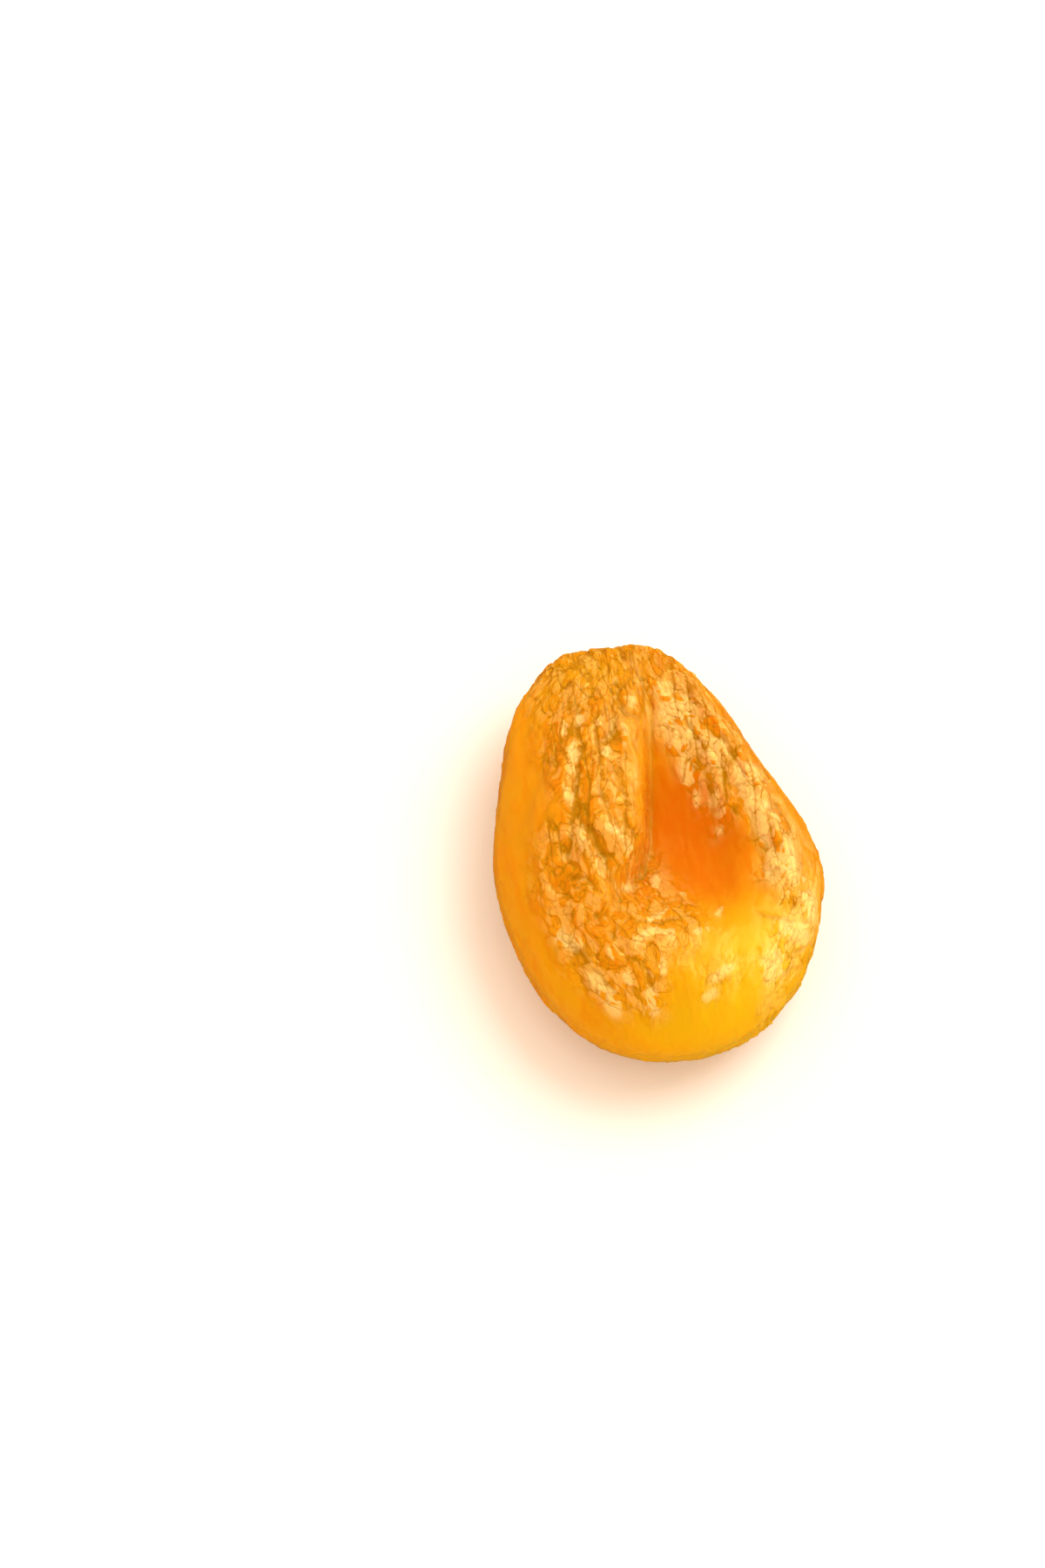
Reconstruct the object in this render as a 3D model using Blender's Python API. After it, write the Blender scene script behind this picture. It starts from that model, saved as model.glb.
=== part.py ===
# A dried apricot, whole and pitted, lying on its underside with its sunken face up.
# It grew as one piece, so it is one closed solid.
# Sizes are in millimetres here, and the mesh is made in metres.
# +Y runs to the stem end, +X to the right as seen from above, and +Z up.
# The origin lies on the table, under the middle of the fruit.

import math

import bmesh
import bpy
from mathutils import Vector, noise

METRES = 0.001

# Driving sizes
LENGTH = 42.0
WIDTH = 30.4
THICKNESS = 14.0
RIM_HEIGHT = 6.3    # the widest line round the fruit, above the table
RIM_TWIST = 0.6     # how far that line is out of true, as a warped plate is
RIM_WAVE = 0.35     # and how far it rises and falls, this often in its round
RIM_WAVES = 3
REST_SINK = 0.35    # how much of the underside the table flattens

# Outline from above: 2 is an ellipse, and more is squarer
TIP_SQUARENESS = 2.15
STEM_SQUARENESS = 3.6
STEM_TAPER = 0.40   # share of the width lost at the stem end
TAPER_POWER = 1.3
RIGHT_SLOPE = 0.20  # more of it on the right, which runs straight from stem to waist
SLOPE_START = -0.25 # where that straight side begins and ends, as shares of the half length
SLOPE_END = 0.5
STEM_LEAN = -1.2    # how far the stem end leans to the left
TIP_LEAN = -0.6
TOP_PLUMPNESS = 2.9 # squareness of the rim in cross-section, above its widest line
UNDER_PLUMPNESS = 2.35
STEM_RISE = 1.5     # how far the stem end is bent up off the table
TIP_RISE = 0.5
STEM_SCAR = 1.1     # depth of the puckered scar where the stem sat
SCAR_REACH = 0.16   # its radius, as a share of the fruit's half width

# Where one shape passes into the next, as shares of half the length or half the thickness
TIP_TO_STEM = (-0.4, 0.4)
UNDER_TO_TOP = (-0.3, 0.3)
SIDE_TO_TOP = (0.1, 0.75)
SIDE_TO_UNDER = (0.2, 0.8)

# Mesh: how many faces lie across, along and up the fruit
FACES_ACROSS = 32
FACES_ALONG = 42
FACES_UP = 16

# The top before it sinks in: one level crest with these swellings on it
CREST_HEIGHT = 10.2
SWELLINGS = [
    {"name": "left lobe", "at": (-6.4, 0.8), "reach": (8.2, 13.5), "turn": 5, "rise": 3.7},
    {"name": "left shoulder", "at": (-4.6, 12.5), "reach": (5.4, 5.5), "turn": 10, "rise": 0.8},
    {"name": "right rim", "at": (10.2, 3.0), "reach": (4.0, 10.0), "turn": 14, "rise": 1.9},
    {"name": "tip bulge", "at": (-1.0, -14.6), "reach": (9.5, 5.6), "turn": -6, "rise": 1.9},
    {"name": "tip right", "at": (8.4, -10.6), "reach": (4.8, 4.6), "turn": 30, "rise": 0.9},
]

# The seam that runs from the stem end into the sunken middle. Its left bank is steep
# and its right bank climbs evenly out of it, as one side of the basin. Each point has
# its place, then the seam's depth and the width of its right bank there.
SEAM = [
    ((2.0, 20.6), 0.6, 1.8),
    ((1.5, 14.6), 1.6, 3.8),
    ((0.6, 8.4), 3.6, 7.4),
    ((-0.4, 3.4), 5.7, 10.2),
    ((-1.4, -0.8), 5.9, 12.0),
    ((-2.9, -4.0), 3.8, 10.0),
    ((-4.6, -6.0), 1.3, 6.0),
]
SEAM_STEPS = 5      # straight steps between two of those points
RIM_SOFTNESS = 0.25 # how round the basin's edge is, as a share of the bank's width
LEFT_BANK = 1.1     # width of the seam's steep bank
LEFT_BANK_SLOPE = 3.0
LIP_OVERHANG = 0.17 # how far the top of that bank leans over the basin, per depth
LIP_WIDTH = 1.2

HOLLOWS = [
    {"name": "small hollow", "at": (-4.6, -3.6), "reach": (2.0, 2.2), "turn": -30, "rise": -1.2},
    {"name": "left cheek", "at": (-4.0, 4.6), "reach": (1.5, 5.0), "turn": 0, "rise": -0.35},
    {"name": "tip pinch", "at": (-2.2, -19.6), "reach": (2.2, 1.9), "turn": 0, "rise": -0.7},
]

# The underside: the hidden cheek is drawn in on both sides of where it rests
UNDER_HOLLOWS = [
    {"name": "under stem", "at": (1.5, 12.5), "reach": (3.2, 4.6), "turn": -8, "rise": 1.5},
    {"name": "under tip", "at": (-2.5, -13.0), "reach": (4.6, 3.0), "turn": 15, "rise": 1.1},
    {"name": "under left", "at": (-10.0, 3.5), "reach": (1.7, 6.5), "turn": 6, "rise": 0.9},
]

# Creases that stand out from the rest, as paths from above with a width and a depth
CREASES = [
    {"path": [(-1.9, 15.6), (-2.2, 11.6), (-3.2, 9.3), (-4.8, 8.4)], "width": 0.8, "depth": 0.4},
    {"path": [(-5.0, 14.6), (-5.9, 9.5), (-6.6, 5.2), (-7.7, 1.5)], "width": 0.9, "depth": 0.45},
    {"path": [(-7.7, 1.5), (-6.6, -0.4), (-5.5, -2.6)], "width": 0.8, "depth": 0.4},
    {"path": [(-7.7, 1.5), (-8.6, -1.6), (-8.4, -5.6)], "width": 0.8, "depth": 0.3},
    {"path": [(-7.4, -6.6), (-4.6, -7.8), (-1.6, -7.9)], "width": 0.9, "depth": 0.35},
    {"path": [(-9.8, -9.4), (-7.8, -11.6), (-6.4, -14.4)], "width": 0.8, "depth": 0.3},
    {"path": [(-4.6, -10.4), (-3.0, -12.6), (-2.2, -14.6)], "width": 0.8, "depth": 0.3},
    {"path": [(4.2, 16.4), (5.4, 11.6), (7.4, 8.2)], "width": 0.8, "depth": 0.35},
    {"path": [(6.6, 7.6), (8.4, 4.6), (9.2, 1.6)], "width": 0.8, "depth": 0.25},
    {"path": [(8.4, -7.6), (10.4, -8.6), (12.4, -8.8)], "width": 0.8, "depth": 0.25},
    {"path": [(-0.9, 15.2), (-1.6, 13.2), (-0.4, 11.2), (0.6, 9.0)], "width": 0.7, "depth": 0.3},
]
CREASE_BANK = 0.2   # height of a crease's raised banks, as a share of its depth
BANK_PLACE = 2.0    # how far out they stand, in crease widths
CREASE_ENDS = 0.35  # share of its depth a crease keeps at its ends
CREASE_FADE = 0.5   # how far from its ends it deepens, in points of its path
CREASED_TOP = (0.05, 0.35)  # where they begin above the widest line, and are full

# Wrinkles: folds drawn out from stem to tip, crumpled across
WRINKLE_HEIGHT = 1.05
WRINKLES_AROUND = 4.4   # folds in half a width
WRINKLES_ALONG = 2.1    # and in half a length
WRINKLES_UP = 2.6       # and in half a thickness
GIRTH_POWER = 0.55      # how strongly the folds crowd together towards both ends
LEAST_GIRTH = 0.3
WRINKLE_WARP = 0.35
WARP_SCALE = 1.3
WRINKLE_LAYERS = 3      # each finer one is lower and closer set by these factors
LAYER_HEIGHT = 0.55
LAYER_FINENESS = 1.9
MIDDLE_FOLD = 0.55      # the fold value that neither lifts nor sinks the skin
WRINKLE_SEED = Vector((3.7, 11.2, 5.1))

# Share of the wrinkles that each calmer part of the skin keeps, and where that part
# begins and ends, in millimetres or as shares of half the length or thickness
BASIN_SHARE = 0.1
BASIN_DENT = (1.0, 3.0)
TIP_SHARE = 0.45
TIP_START = (-0.45, -0.75)
FLANK_SHARE = 0.3
FLANK_HEIGHT = (0.85, 0.35)
FLANK_END = (0.7, 0.4)
END_SHARE = 0.6
END_START = (0.8, 1.0)
CALM_ABOVE_TABLE = 1.6

# Skin colour, linear
SKIN_COLOUR = (0.92, 0.31, 0.02, 1.0)
SKIN_ROUGHNESS = 0.38


def mix(a, b, share):
    return a + (b - a) * share


def ease(low, high, value):
    share = min(max((value - low) / (high - low), 0.0), 1.0)
    return share * share * (3.0 - 2.0 * share)


def swelling_height(swellings, x, y):
    # Each swelling is a soft oval hill, or a hollow where its rise is negative.
    total = 0.0
    for hill in swellings:
        turn = math.radians(hill["turn"])
        dx = x - hill["at"][0]
        dy = y - hill["at"][1]
        across = (dx * math.cos(turn) + dy * math.sin(turn)) / hill["reach"][0]
        along = (dy * math.cos(turn) - dx * math.sin(turn)) / hill["reach"][1]
        total += hill["rise"] * math.exp(-(across * across + along * along))
    return total


def nearest_on_path(points, x, y):
    # Returns the place along the path, in points, and the distance to it, which is
    # positive on the left hand of someone walking the path.
    best_place = 0.0
    best_offset = math.inf
    for index in range(len(points) - 1):
        ax, ay = points[index]
        bx, by = points[index + 1]
        run_x = bx - ax
        run_y = by - ay
        run = run_x * run_x + run_y * run_y
        share = min(max(((x - ax) * run_x + (y - ay) * run_y) / run, 0.0), 1.0)
        off_x = x - ax - share * run_x
        off_y = y - ay - share * run_y
        offset = math.hypot(off_x, off_y)
        if offset < abs(best_offset):
            side = 1.0 if run_x * off_y - run_y * off_x > 0.0 else -1.0
            best_place = index + share
            best_offset = side * offset
    return best_place, best_offset


def curve_through(rows, steps):
    # A Catmull-Rom curve through rows of numbers, as rows of numbers.
    ends = [rows[0]] + rows + [rows[-1]]
    curve = []
    for index in range(len(rows) - 1):
        before, start, end, after = ends[index:index + 4]
        for step in range(steps):
            t = step / steps
            curve.append([
                0.5 * (2 * b + t * (c - a) + t ** 2 * (2 * a - 5 * b + 4 * c - d)
                       + t ** 3 * (3 * b - a - 3 * c + d))
                for a, b, c, d in zip(before, start, end, after)
            ])
    curve.append(list(rows[-1]))
    return curve


SEAM_CURVE = curve_through([[x, y, depth, bank] for (x, y), depth, bank in SEAM], SEAM_STEPS)
SEAM_PATH = [(row[0], row[1]) for row in SEAM_CURVE]


def seam_dent(x, y):
    # Returns how deep the seam is here, and how far its steep bank leans to the right.
    place, offset = nearest_on_path(SEAM_PATH, x, y)
    index = min(int(place), len(SEAM_CURVE) - 2)
    share = place - index
    depth = mix(SEAM_CURVE[index][2], SEAM_CURVE[index + 1][2], share)
    right_bank = mix(SEAM_CURVE[index][3], SEAM_CURVE[index + 1][3], share)
    # The path runs down from the stem, so its left hand is the fruit's right.
    if offset > 0.0:
        to_edge = 1.0 - offset / right_bank
        dent = 0.5 * depth * (to_edge + math.hypot(to_edge, RIM_SOFTNESS))
    else:
        dent = depth * math.exp(-(-offset / LEFT_BANK) ** LEFT_BANK_SLOPE)
    from_lip = (offset + LEFT_BANK) / LIP_WIDTH
    lean = LIP_OVERHANG * depth * math.exp(-from_lip * from_lip)
    return dent, lean


def crease_depth(x, y):
    total = 0.0
    for crease in CREASES:
        path = crease["path"]
        place, offset = nearest_on_path(path, x, y)
        from_centre = abs(offset) / crease["width"]
        ends = ease(0.0, CREASE_FADE, place) * ease(0.0, CREASE_FADE, len(path) - 1 - place)
        groove = math.exp(-from_centre * from_centre)
        banks = CREASE_BANK * math.exp(-(from_centre - BANK_PLACE) ** 2)
        total += crease["depth"] * mix(CREASE_ENDS, 1.0, ends) * (groove - banks)
    return total


def ball_to_skin(direction):
    # Carries a point of the unit ball to the smooth, plump fruit before it sank in.
    stemward = ease(*TIP_TO_STEM, direction.y)
    squareness = mix(TIP_SQUARENESS, STEM_SQUARENESS, stemward)
    plumpness = mix(UNDER_PLUMPNESS, TOP_PLUMPNESS, ease(*UNDER_TO_TOP, direction.z))
    level = (abs(direction.x) ** squareness + abs(direction.y) ** squareness) ** (1.0 / squareness)
    reach = (level ** plumpness + abs(direction.z) ** plumpness) ** (-1.0 / plumpness)
    plump = direction * reach
    to_stem = max(plump.y, 0.0)
    x = 0.5 * WIDTH * plump.x * (1.0 - STEM_TAPER * to_stem ** TAPER_POWER)
    x -= RIGHT_SLOPE * max(x, 0.0) * ease(SLOPE_START, SLOPE_END, plump.y)
    x += STEM_LEAN * to_stem * to_stem + TIP_LEAN * max(-plump.y, 0.0) ** 2.0
    y = 0.5 * LENGTH * plump.y
    if direction.y > 0.0:
        from_scar = math.hypot(direction.x, direction.z) / SCAR_REACH
        y -= STEM_SCAR * math.exp(-from_scar * from_scar)
    return plump, x, y


def skin_point(direction):
    plump, x, y = ball_to_skin(direction)
    bend = STEM_RISE * max(plump.y, 0.0) ** 2.0 + TIP_RISE * max(-plump.y, 0.0) ** 2.0
    rim = RIM_HEIGHT + RIM_TWIST * plump.x * plump.y
    rim += RIM_WAVE * math.sin(RIM_WAVES * math.atan2(plump.y, plump.x))
    if plump.z < 0.0:
        sunk = ease(*SIDE_TO_UNDER, -plump.z)
        z = bend + rim + rim * plump.z + sunk * swelling_height(UNDER_HOLLOWS, x, y)
        return Vector((x, y, z))
    crest = CREST_HEIGHT + swelling_height(SWELLINGS, x, y)
    on_top = ease(*SIDE_TO_TOP, plump.z)
    dent, lean = seam_dent(x, y)
    z = bend + rim + (crest - rim) * plump.z
    z += on_top * (swelling_height(HOLLOWS, x, y) - dent)
    return Vector((x + on_top * lean, y, z))


def wrinkle_height(direction, place):
    # Folds run from stem to tip, so they crowd together towards both ends.
    plump, x, y = ball_to_skin(direction)
    girth = max(math.hypot(plump.x, plump.z), LEAST_GIRTH) ** GIRTH_POWER
    spot = Vector((
        WRINKLES_AROUND * plump.x / girth,
        WRINKLES_ALONG * plump.y,
        WRINKLES_UP * plump.z / girth,
    ))
    spot += WRINKLE_SEED
    spot += WRINKLE_WARP * noise.noise_vector(WARP_SCALE * spot)
    folds = noise.turbulence(spot, WRINKLE_LAYERS, True, amplitude_scale=LAYER_HEIGHT,
                             frequency_scale=LAYER_FINENESS)
    calm = 1.0
    if plump.z > 0.0:
        dent = seam_dent(x, y)[0]
        calm = mix(1.0, BASIN_SHARE, ease(*BASIN_DENT, dent))
        calm *= mix(1.0, TIP_SHARE, ease(*TIP_START, plump.y))
    flank = ease(*FLANK_HEIGHT, abs(plump.z)) * ease(*FLANK_END, plump.y)
    calm *= mix(1.0, FLANK_SHARE, flank)
    calm *= ease(0.0, CALM_ABOVE_TABLE, place.z)
    calm *= mix(1.0, END_SHARE, ease(*END_START, abs(plump.y)))
    return calm * WRINKLE_HEIGHT * (folds - MIDDLE_FOLD)


def make_ball():
    # A cube cut into a fine grid and rounded has no poles where faces would crowd.
    ball = bmesh.new()
    bmesh.ops.create_cube(ball, size=2.0)
    for axis, faces in enumerate((FACES_ACROSS, FACES_ALONG, FACES_UP)):
        edges = [
            edge for edge in ball.edges
            if abs(edge.verts[0].co[axis] - edge.verts[1].co[axis]) > 1.0
        ]
        bmesh.ops.subdivide_edges(ball, edges=edges, cuts=faces - 1, use_grid_fill=True)
    for vert in ball.verts:
        vert.co = Vector([math.tan(0.25 * math.pi * value) for value in vert.co]).normalized()
    return ball


def fit_to_size(skin):
    # Sets the length, width and thickness to the driving sizes, and flattens where it rests.
    lows = [min(vert.co[axis] for vert in skin.verts) for axis in range(3)]
    highs = [max(vert.co[axis] for vert in skin.verts) for axis in range(3)]
    sizes = (WIDTH, LENGTH, THICKNESS + REST_SINK)
    for vert in skin.verts:
        for axis in range(3):
            share = (vert.co[axis] - lows[axis]) / (highs[axis] - lows[axis])
            vert.co[axis] = sizes[axis] * (share - 0.5)
        vert.co.z = max(vert.co.z + 0.5 * THICKNESS - 0.5 * REST_SINK, 0.0)


def make_apricot():
    # Rounds the ball to the fruit's form, then lifts and presses the skin into its wrinkles.
    skin = make_ball()
    directions = [vert.co.copy() for vert in skin.verts]
    for vert, direction in zip(skin.verts, directions):
        vert.co = skin_point(direction)
    skin.normal_update()
    lifts = []
    for vert, direction in zip(skin.verts, directions):
        lift = wrinkle_height(direction, vert.co)
        plump, x, y = ball_to_skin(direction)
        lift -= ease(*CREASED_TOP, plump.z) * crease_depth(x, y)
        lifts.append(lift)
    for vert, lift in zip(skin.verts, lifts):
        vert.co += lift * vert.normal
    fit_to_size(skin)
    bmesh.ops.triangulate(skin, faces=skin.faces, quad_method="SHORT_EDGE")
    bmesh.ops.scale(skin, verts=skin.verts, vec=(METRES, METRES, METRES))
    bmesh.ops.recalc_face_normals(skin, faces=skin.faces)
    mesh = bpy.data.meshes.new("dried_apricot")
    skin.to_mesh(mesh)
    skin.free()
    mesh.shade_smooth()
    apricot = bpy.data.objects.new("dried_apricot", mesh)
    apricot.data.materials.append(make_skin_material())
    bpy.context.collection.objects.link(apricot)


def make_skin_material():
    material = bpy.data.materials.new("apricot_skin")
    material.use_nodes = True
    shader = material.node_tree.nodes["Principled BSDF"]
    shader.inputs["Base Color"].default_value = SKIN_COLOUR
    shader.inputs["Roughness"].default_value = SKIN_ROUGHNESS
    shader.inputs["Metallic"].default_value = 0.0
    material.diffuse_color = SKIN_COLOUR
    return material


for item in list(bpy.data.objects):
    bpy.data.objects.remove(item, do_unlink=True)
make_apricot()
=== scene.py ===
import math

import bmesh
import bpy
import numpy as np
from mathutils import Matrix, Vector, noise


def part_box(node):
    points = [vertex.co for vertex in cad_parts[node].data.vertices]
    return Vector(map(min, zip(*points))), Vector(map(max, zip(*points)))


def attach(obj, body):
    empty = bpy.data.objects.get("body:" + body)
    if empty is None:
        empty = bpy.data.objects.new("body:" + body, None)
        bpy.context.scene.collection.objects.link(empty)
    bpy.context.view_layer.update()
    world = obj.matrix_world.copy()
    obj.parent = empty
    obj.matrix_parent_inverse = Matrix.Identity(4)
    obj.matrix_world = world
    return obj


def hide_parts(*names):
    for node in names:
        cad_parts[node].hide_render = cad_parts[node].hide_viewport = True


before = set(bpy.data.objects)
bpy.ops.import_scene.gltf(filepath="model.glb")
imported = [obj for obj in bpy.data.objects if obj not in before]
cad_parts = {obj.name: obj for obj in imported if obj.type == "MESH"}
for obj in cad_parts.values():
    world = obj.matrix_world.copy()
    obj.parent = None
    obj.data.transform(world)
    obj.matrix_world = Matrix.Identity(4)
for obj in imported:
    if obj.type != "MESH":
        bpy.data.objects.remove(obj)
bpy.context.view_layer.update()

fruitLow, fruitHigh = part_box("dried_apricot")
fruitMiddle = (fruitLow + fruitHigh) / 2
mm = 0.001


# small helpers for arrays of points in mm

def ease(low, high, values):
    share = np.clip((values - low) / (high - low), 0.0, 1.0)
    return share * share * (3.0 - 2.0 * share)


def blended(share, values, target):
    return values + (target - values) * share


def noiseField(points, spacing, seed):
    # smooth noise from -1 to 1 whose hills stand about one spacing apart
    return np.array([noise.noise(Vector(spot)) for spot in points / spacing + seed])


def strayed(points, stray, spacing, seeds):
    # the points moved about from above, so that what is measured from them gets ragged edges
    moved = points.copy()
    for k, seed in enumerate(seeds):
        moved[:, k] += stray * noiseField(points, spacing, seed)
    return moved


def ovalField(points, oval):
    # 1 in the middle of a soft oval seen from above, falling to 0 outside it
    turn = math.radians(oval["turn"])
    dx = points[:, 0] - oval["at"][0]
    dy = points[:, 1] - oval["at"][1]
    across = (dx * math.cos(turn) + dy * math.sin(turn)) / oval["reach"][0]
    along = (dy * math.cos(turn) - dx * math.sin(turn)) / oval["reach"][1]
    return oval.get("share", 1.0) * np.exp(-(across ** 2 + along ** 2) ** oval.get("power", 1.0))


# small helpers for Blender's own data

def applyModifiers(piece):
    graph = bpy.context.evaluated_depsgraph_get()
    finished = bpy.data.meshes.new_from_object(piece.evaluated_get(graph), depsgraph=graph)
    piece.modifiers.clear()
    before = piece.data
    piece.data = finished
    bpy.data.meshes.remove(before)


def linearColour(hexColour):
    channels = [int(hexColour[place:place + 2], 16) / 255 for place in (0, 2, 4)]
    return tuple(c / 12.92 if c <= 0.04045 else ((c + 0.055) / 1.055) ** 2.4 for c in channels) + (1.0,)


def addNode(tree, kind, settings=None, inputs=None):
    # an input given as a socket is linked, anything else is set on the socket
    node = tree.nodes.new(kind)
    for name, value in (settings or {}).items():
        setattr(node, name, value)
    for name, value in (inputs or {}).items():
        if isinstance(value, bpy.types.NodeSocket):
            tree.links.new(value, node.inputs[name])
        else:
            node.inputs[name].default_value = value
    return node


def addMath(tree, operation, first, second=0.0):
    return addNode(tree, "ShaderNodeMath", {"operation": operation}, {0: first, 1: second}).outputs[0]


def addVector(tree, operation, first, second, output="Vector"):
    node = addNode(tree, "ShaderNodeVectorMath", {"operation": operation}, {0: first, 1: second})
    return node.outputs[output]


def addScaled(tree, first, scale):
    node = addNode(tree, "ShaderNodeVectorMath", {"operation": "SCALE"}, {0: first, "Scale": scale})
    return node.outputs[0]


def addCoordinate(tree, place, axis):
    return addNode(tree, "ShaderNodeSeparateXYZ", None, {"Vector": place}).outputs[axis]


def addRange(tree, value, low, high, first=0.0, last=1.0, kind="LINEAR"):
    return addNode(tree, "ShaderNodeMapRange", {"interpolation_type": kind}, {
        "Value": value, "From Min": low, "From Max": high, "To Min": first, "To Max": last,
    }).outputs["Result"]


def addEase(tree, value, low, high):
    return addRange(tree, value, low, high, kind="SMOOTHSTEP")


def addNoise(tree, spot, scale, detail, output="Fac"):
    node = addNode(tree, "ShaderNodeTexNoise", None, {"Vector": spot, "Scale": scale, "Detail": detail})
    return node.outputs[output]


# how plates and crease lines are drawn, in the facets and again in the material
plateDrawing = {
    "middle": (0.5, 0.5, 0.5),  # a noise colour's mean
    "warpScale": 1.1,
    "warpDetail": 0.5,
    "lineDetail": 0.5,
    "patchSoft": 0.06,          # how soft a pale patch's edge is
}


def addWander(tree, spot, wander):
    warp = addNoise(tree, spot, plateDrawing["warpScale"], plateDrawing["warpDetail"], "Color")
    centred = addVector(tree, "SUBTRACT", warp, plateDrawing["middle"])
    return addVector(tree, "ADD", spot, addScaled(tree, centred, wander))


def addPlateSlope(tree, spot):
    # the height of flat plates that each lean their own way
    cell = addNode(tree, "ShaderNodeTexVoronoi", {"feature": "F1"}, {"Vector": spot, "Scale": 1.0}).outputs
    lean = addScaled(tree, addVector(tree, "SUBTRACT", cell["Color"], plateDrawing["middle"]), 2.0)
    fromMiddle = addVector(tree, "SUBTRACT", spot, cell["Position"])
    return addVector(tree, "DOT_PRODUCT", lean, fromMiddle, "Value")


def addCrinkle(tree, spot, lineWidth):
    # winding crease lines with level skin between them: 1 on a line, 0 beside it
    winding = addNoise(tree, spot, 1.0, plateDrawing["lineDetail"])
    distance = addMath(tree, "ABSOLUTE", addMath(tree, "SUBTRACT", winding, 0.5))
    return addMath(tree, "SUBTRACT", 1.0, addEase(tree, distance, 0.0, lineWidth))


def addPatches(tree, spot, cover, edge):
    # patches between the crease lines, 1 on a patch and 0 beside it
    winding = addMath(tree, "ADD", addNoise(tree, spot, 1.0, 0.0), cover)
    return addEase(tree, winding, edge, edge + plateDrawing["patchSoft"])


# the skin: a copy of the CAD fruit, made fine and then wrinkled
skinForm = {
    "mergeDistance": 1e-6,      # metres
    "joinAngle": 60,            # degrees, triangles flatter than this become quads again
    "joinSkew": 69,             # degrees, how far from square such a quad may be
    "subdivisions": 2,          # faces about 0.19 mm wide, 159,040 triangles
    "diagonalStiffness": 0.5,   # of a face's diagonals, its sides being 1
    "smoothingStep": 0.7,
    "cornerPasses": 120,        # smoothing passes that even out the fold below the basin's right corner
    "cornerSlope": (0.2, 0.5),
    "boxRoom": 0.05,            # mm, how far a wrinkle may stand past the CAD fruit's sides
}


def copyCadFruit():
    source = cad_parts["dried_apricot"]
    cage = bmesh.new()
    cage.from_mesh(source.data)
    cage.transform(source.matrix_world)
    bmesh.ops.remove_doubles(cage, verts=cage.verts, dist=skinForm["mergeDistance"])
    bmesh.ops.join_triangles(cage, faces=cage.faces,
                             angle_face_threshold=math.radians(skinForm["joinAngle"]),
                             angle_shape_threshold=math.radians(skinForm["joinSkew"]))
    mesh = bpy.data.meshes.new("apricot_skin")
    cage.to_mesh(mesh)
    cage.free()
    skin = bpy.data.objects.new("apricot_skin", mesh)
    bpy.context.collection.objects.link(skin)
    smoother = skin.modifiers.new("subdivide", "SUBSURF")
    smoother.levels = skinForm["subdivisions"]
    smoother.render_levels = skinForm["subdivisions"]
    applyModifiers(skin)
    return skin


class SkinSheet:
    # the fine mesh as arrays in millimetres: its points, its edges and the two diagonals of each face

    def __init__(self, mesh):
        count = len(mesh.vertices)
        points = np.empty(count * 3)
        mesh.vertices.foreach_get("co", points)
        self.points = points.reshape(-1, 3) / mm
        corners = np.empty(len(mesh.loops), dtype=int)
        mesh.loops.foreach_get("vertex_index", corners)
        self.faces = corners.reshape(-1, 4)
        edges = np.empty(len(mesh.edges) * 2, dtype=int)
        mesh.edges.foreach_get("vertices", edges)
        self.edges = edges.reshape(-1, 2)
        diagonals = np.vstack([self.faces[:, [0, 2]], self.faces[:, [1, 3]]])
        self.springs = np.vstack([self.edges, diagonals])
        self.stiffness = np.ones(len(self.springs))
        self.stiffness[len(self.edges):] = skinForm["diagonalStiffness"]
        self.neighbours = np.bincount(self.edges.ravel(), minlength=count).astype(float)

    def fromNeighbours(self, values):
        # mean of the neighbours minus the point's own value, for each column
        left, right = self.edges[:, 0], self.edges[:, 1]
        columns = values.reshape(len(values), -1)
        result = np.empty_like(columns)
        for k in range(columns.shape[1]):
            total = np.bincount(left, columns[right, k], len(columns))
            total += np.bincount(right, columns[left, k], len(columns))
            result[:, k] = total / self.neighbours - columns[:, k]
        return result.reshape(values.shape)

    def smoothed(self, values, passes):
        for _ in range(passes):
            values = values + skinForm["smoothingStep"] * self.fromNeighbours(values)
        return values

    def normals(self, points):
        first = points[self.faces[:, 2]] - points[self.faces[:, 0]]
        second = points[self.faces[:, 3]] - points[self.faces[:, 1]]
        faceNormals = np.cross(first, second)
        normals = np.zeros_like(points)
        for corner in range(4):
            for k in range(3):
                normals[:, k] += np.bincount(self.faces[:, corner], faceNormals[:, k], len(points))
        return normals / np.linalg.norm(normals, axis=1)[:, None]


# parts of the fruit, ovals from above in mm
basinZone = {"at": (3.8, 0.0), "reach": (5.2, 8.6), "turn": 16, "power": 1.8}
cornerZone = {"at": (6.8, -9.6), "reach": (3.2, 5.0), "turn": 0, "power": 1.5}
ripeZones = [                   # where the skin is riper, share being how far
    {"at": (7.6, -13.0), "reach": (8.0, 6.0), "turn": 35},
    {"at": (0.0, -19.5), "reach": (9.0, 4.5), "turn": 4, "share": 0.6},
    {"at": (-5.5, 17.0), "reach": (6.5, 4.0), "turn": 20, "share": 0.45},
]

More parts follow.
